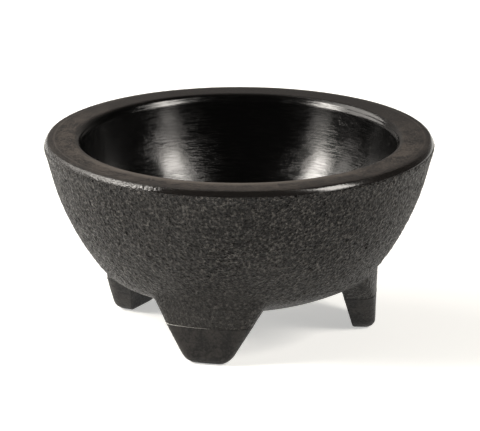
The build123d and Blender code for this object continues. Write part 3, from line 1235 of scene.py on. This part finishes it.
@dataclass
class LegFoot:
    """Smooth foot under the ring line, with a rounded sole and a plug for the hollow leg."""

    leg: LegForm
    joint: float
    plug_top: float
    place: LegPlace
    sole_round: float = 2.9
    inner_round: float = 1.5
    plug_inset: float = 2.35
    bead: float = 0.07
    lump_size: float = 2.4
    lump_depth: float = 0.07
    seed: float = 1.0

    def rings(self) -> list[Outline]:
        """List the outlines from the sole to the plug's top.

        Returns:
            The outlines, from the lowest.
        """
        heights = [self.sole_round * (1 - math.cos(math.radians(a))) for a in range(0, 91, 10)]
        heights += [self.sole_round + (self.joint - 0.7 - self.sole_round) * i / 16 for i in range(1, 17)]
        rings = []
        for z in heights:
            rings.append(self.leg.outline(z, self.inset(z, self.sole_round), self.inset(z, self.inner_round)))
        for z, inset in ((self.joint - 0.35, -self.bead * 0.6), (self.joint - 0.16, -self.bead),
                         (self.joint - 0.02, -self.bead * 0.2), (self.joint, 0.25)):
            rings.append(self.leg.outline(z, inset))
        for z in (self.joint, self.plug_top - 0.4):
            rings.append(self.leg.outline(z, self.plug_inset))
        rings.append(self.leg.outline(self.plug_top, self.plug_inset + 0.4))
        return rings

    @staticmethod
    def inset(z: float, rounding: float) -> float:
        """Return how far a rounded sole edge stands in at a height.

        Args:
            z: Height above the floor.
            rounding: Radius of the rounded edge.

        Returns:
            Distance inside the leg's surface.
        """
        if z >= rounding:
            return 0.0
        return rounding - math.sqrt(rounding ** 2 - (rounding - z) ** 2)

    def skin_tree(self) -> tuple[bpy.types.NodeTree, dict[str, str]]:
        """Build the tree that gives the foot its faint moulded unevenness.

        Returns:
            The tree and the identifier of each named input.
        """
        sizes = {"Lump size": self.lump_size * MM, "Lump depth": self.lump_depth * MM,
                 "Joint": self.joint * MM, "Seed": self.seed}
        tree, size, names = new_tree("foot_skin", sizes)
        node = partial(add_node, tree)
        where = node(Kind.POSITION)
        z = node(Kind.SPLIT, where)[2]
        place = node(Kind.MOVE, where, node(Kind.VECTOR, size["Seed"], 0.0, 0.0))
        lumps = node(Kind.NOISE, place, node(Kind.DIVIDE, 1.0, size["Lump size"]), 3.0)
        depth = node(Kind.MULTIPLY, node(Kind.SUBTRACT, lumps, 0.5),
                     node(Kind.MULTIPLY, size["Lump depth"], 2.0))
        middle = node(Kind.MULTIPLY, node(Kind.STEP, z, 0.2 * MM, 2.5 * MM),
                       node(Kind.STEP, z, node(Kind.SUBTRACT, size["Joint"], 2.0 * MM), size["Joint"],
                            1.0, 0.0))
        offset = node(Kind.SCALE, node(Kind.NORMAL), node(Kind.MULTIPLY, depth, middle))
        end_tree(tree, node(Kind.OFFSET, size["Geometry"], offset), size["Finish"])
        return tree, names

    def build(self, finish: bpy.types.Material) -> bpy.types.Object:
        """Build one foot in its place.

        Args:
            finish: Material of the piece.

        Returns:
            The finished piece, riding on the frame.
        """
        foot = stacked_mesh("leg_" + self.place.node, self.rings())
        foot.data.transform(self.place.turn)
        tree, names = self.skin_tree()
        run_tree(foot, tree, names, {"Finish": finish})
        dress(foot, finish)
        smooth(foot, 45)
        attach(foot, "root")
        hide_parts(self.place.node)
        return foot


@dataclass
class MouldFlash:
    """Thin sliver of flash along the front leg's ring line, thickest at its left corner."""

    leg: LegForm
    joint: float
    thick: float = 0.11
    thin: float = 0.045
    face_back: float = -38.4
    to_share: float = 0.12
    ragged_size: float = 1.5
    taper: Step = (0.25, 0.5)
    first_tip: Step = (0.0, 0.04, 0.25, 1.0)
    last_tip: Step = (0.9, 1.0, 1.0, 0.25)
    sides: int = 8

    def line(self) -> bpy.types.Object:
        """Trace the ring line round the leg's left corner and along its outer face, as loose edges.

        Returns:
            The line, as an object with loose edges.
        """
        outline = self.leg.outline(self.joint, 0.02, detail=8)
        half = self.leg.at(self.leg.outer_half, self.joint)
        left = [p for p in outline[len(outline) // 2:] if p[1] < self.face_back]
        right = [p for p in outline[:len(outline) // 2]
                 if p[0] < half * self.to_share and p[1] < self.face_back]
        points = [[c * MM for c in p] for p in left + right]
        mesh = bpy.data.meshes.new("mould_flash")
        mesh.from_pydata(points, [(i, i + 1) for i in range(len(points) - 1)], [])
        obj = bpy.data.objects.new("mould_flash", mesh)
        bpy.context.scene.collection.objects.link(obj)
        return obj

    def sweep_tree(self) -> tuple[bpy.types.NodeTree, dict[str, str]]:
        """Build the tree that sweeps a tapering, slightly ragged thread along the ring line.

        Returns:
            The tree and the identifier of each named input.
        """
        sizes = {"Thick": self.thick * MM, "Thin": self.thin * MM, "Seed": 3.0}
        tree, size, names = new_tree("flash_sweep", sizes)
        node = partial(add_node, tree)
        share = node(Kind.ALONG_CURVE)
        place = node(Kind.MOVE, node(Kind.POSITION), node(Kind.VECTOR, size["Seed"], 0.0, 0.0))
        ragged = node(Kind.NOISE, place, per_metre(self.ragged_size), 2.0)
        taper = node(Kind.STEP, share, *self.taper, size["Thick"], size["Thin"])
        tips = node(Kind.MULTIPLY, node(Kind.STEP, share, *self.first_tip),
                    node(Kind.STEP, share, *self.last_tip))
        width = node(Kind.MULTIPLY, node(Kind.MULTIPLY, taper, tips),
                     node(Kind.MULTIPLY_ADD, ragged, 0.9, 0.5))
        section = node(Kind.CIRCLE, self.sides, 1.0)
        sweep = node(Kind.SWEEP, node(Kind.CURVE, size["Geometry"]), section, width, True)
        end_tree(tree, sweep, size["Finish"])
        return tree, names

    def build(self, finish: bpy.types.Material) -> bpy.types.Object:
        """Build the flash on the front leg.

        Args:
            finish: Material of the piece.

        Returns:
            The finished piece, riding on the frame.
        """
        flash = self.line()
        tree, names = self.sweep_tree()
        run_tree(flash, tree, names, {"Finish": finish})
        dress(flash, finish)
        flash.data.shade_smooth()
        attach(flash, "root")
        return flash


# ---- the studio ----------------------------------------------------------------------------
@dataclass
class Softbox:
    """One soft light, placed by its angles from the camera's side of the bowl."""

    name: str
    offset: float
    elevation: float
    distance: float
    width: float
    tall: float
    power: float
    tint: str = "#fffaf3"

    def build(self, camera_azimuth: float, target: Vector) -> None:
        """Place the light, facing the bowl.

        Args:
            camera_azimuth: Angle of the camera, in degrees.
            target: Point that the light faces, in metres.
        """
        lamp = bpy.data.lights.new(self.name, "AREA")
        lamp.shape = "RECTANGLE"
        lamp.size = self.width
        lamp.size_y = self.tall
        lamp.energy = self.power
        lamp.color = linear(self.tint)[:3]
        obj = bpy.data.objects.new(self.name, lamp)
        place = direction(camera_azimuth + self.offset, self.elevation) * self.distance
        obj.location = target + place
        obj.rotation_euler = place.to_track_quat("Z", "Y").to_euler()
        bpy.context.scene.collection.objects.link(obj)


def direction(azimuth: float, elevation: float) -> Vector:
    """Return the unit vector at an azimuth from -Y towards +X and an elevation, in degrees."""
    a, e = math.radians(azimuth), math.radians(elevation)
    return Vector((math.sin(a) * math.cos(e), -math.cos(a) * math.cos(e), math.sin(e)))


@dataclass
class Studio:
    """White light-table floor, a dim room, soft lights and the camera."""

    azimuth: float = 14.0
    elevation: float = 16.8
    distance: float = 1.5875
    lens: float = 364.8
    aim_height: float = 0.0372
    aim_right: float = 0.00027
    floor_size: float = 9.0
    room_turn: float = 30.0
    room_step: Step = (-0.1, 0.95)
    room_dark: str = "#201f1e"
    room_pale: str = "#918c87"
    lights: list[Softbox] = field(default_factory=lambda: [
        Softbox("right_softbox", 63.0, 37.0, 0.95, 0.28, 0.40, 6.0),
        Softbox("left_softbox", -77.0, 34.0, 0.95, 0.26, 0.38, 8.2),
        Softbox("left_back_panel", -114.0, 37.0, 0.95, 0.70, 0.70, 6.5),
        Softbox("right_low_panel", 56.0, 16.0, 0.95, 0.22, 0.30, 0.65),
        Softbox("left_low_panel", -66.0, 15.5, 0.95, 0.22, 0.30, 0.65),
    ])

    def floor(self, finish: bpy.types.Material) -> bpy.types.Object:
        """Lay the floor, finely divided under the bowl.

        Args:
            finish: Material of the floor.

        Returns:
            The floor.
        """
        half = self.floor_size / 2
        steps = [-1.0, -0.2, -0.05, 0.0, 0.05, 0.2, 1.0]
        points = [(half * x, half * y, 0.0) for y in steps for x in steps]
        count = len(steps)
        faces = [(j * count + i, j * count + i + 1, (j + 1) * count + i + 1, (j + 1) * count + i)
                 for j in range(count - 1) for i in range(count - 1)]
        mesh = bpy.data.meshes.new("paper_floor")
        mesh.from_pydata(points, [], faces)
        obj = bpy.data.objects.new("paper_floor", mesh)
        bpy.context.scene.collection.objects.link(obj)
        dress(obj, finish)
        return obj

    def surroundings(self) -> None:
        """Set the dim room around the lights, paler low behind the bowl."""
        world = bpy.data.worlds.new("studio_room")
        world.use_nodes = True
        world.node_tree.nodes.clear()
        node = partial(add_node, world.node_tree)
        away = -direction(self.azimuth + self.room_turn, 0.0)
        back = node(Kind.STEP, node(Kind.DOT, node(Kind.WORLD_RAY), tuple(away)), *self.room_step)
        colour = node(Kind.BLEND, back, linear(self.room_dark), linear(self.room_pale))
        node(Kind.WORLD_OUTPUT, node(Kind.BACKGROUND, colour))
        bpy.context.scene.world = world

    def camera(self) -> bpy.types.Object:
        """Stand the camera at its viewing angle.

        Returns:
            The camera, set as the scene's own.
        """
        data = bpy.data.cameras.new("studio_camera")
        data.lens = self.lens
        data.sensor_width = 36.0
        data.sensor_fit = "HORIZONTAL"
        data.clip_end = 30.0
        obj = bpy.data.objects.new("studio_camera", data)
        side = Vector((math.cos(math.radians(self.azimuth)), math.sin(math.radians(self.azimuth)), 0.0))
        target = Vector((0.0, 0.0, self.aim_height)) + side * self.aim_right
        away = direction(self.azimuth, self.elevation)
        obj.location = target + away * self.distance
        obj.rotation_euler = away.to_track_quat("Z", "Y").to_euler()
        bpy.context.scene.collection.objects.link(obj)
        bpy.context.scene.camera = obj
        return obj

    def build(self) -> None:
        """Set up floor, room, lights and camera."""
        self.floor(LightTable().build())
        self.surroundings()
        target = Vector((0.0, 0.0, self.aim_height))
        for light in self.lights:
            light.build(self.azimuth, target)
        self.camera()
        bpy.context.scene.view_settings.view_transform = "Standard"


def report(piece: bpy.types.Object) -> None:
    """Log one finished piece and its triangle count."""
    triangles = sum(len(p.vertices) - 2 for p in piece.data.polygons)
    LOG.info("%s: %d triangles", piece.name, triangles)


def main() -> None:
    """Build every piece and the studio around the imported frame."""
    logging.basicConfig(level=logging.INFO, format="%(name)s %(message)s")
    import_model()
    form = BowlForm.from_frame()
    leg = LegForm()
    plug_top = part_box("foot_front")[1].z / MM
    joint = plug_top - PLUG_HEIGHT
    shell = StoneShell(form, leg, joint)
    report(shell.build(StoneMoulding().build()))
    bowl = ServingBowl(form)
    report(bowl.build(BowlMoulding(bowl.flat_radius, bowl.lip_radius, form.height).build()))
    foot_finish = FootMoulding("satin_polypropylene", "#070606", "#24211f", "#2e2b29", 0.5).build()
    for number, place in enumerate(LegPlace):
        report(LegFoot(leg, joint, plug_top, place, seed=1.0 + number).build(foot_finish))
    # the flash is painted near white: a painted highlight for the glint that its ledge catches
    flash_glint_finish = FootMoulding("mould_flash_painted_glint", "#8f8c88", "#d8d6d2", "#e8e6e2", 0.45).build()
    report(MouldFlash(leg, joint).build(flash_glint_finish))
    Studio().build()


if __name__ == "__main__":
    main()
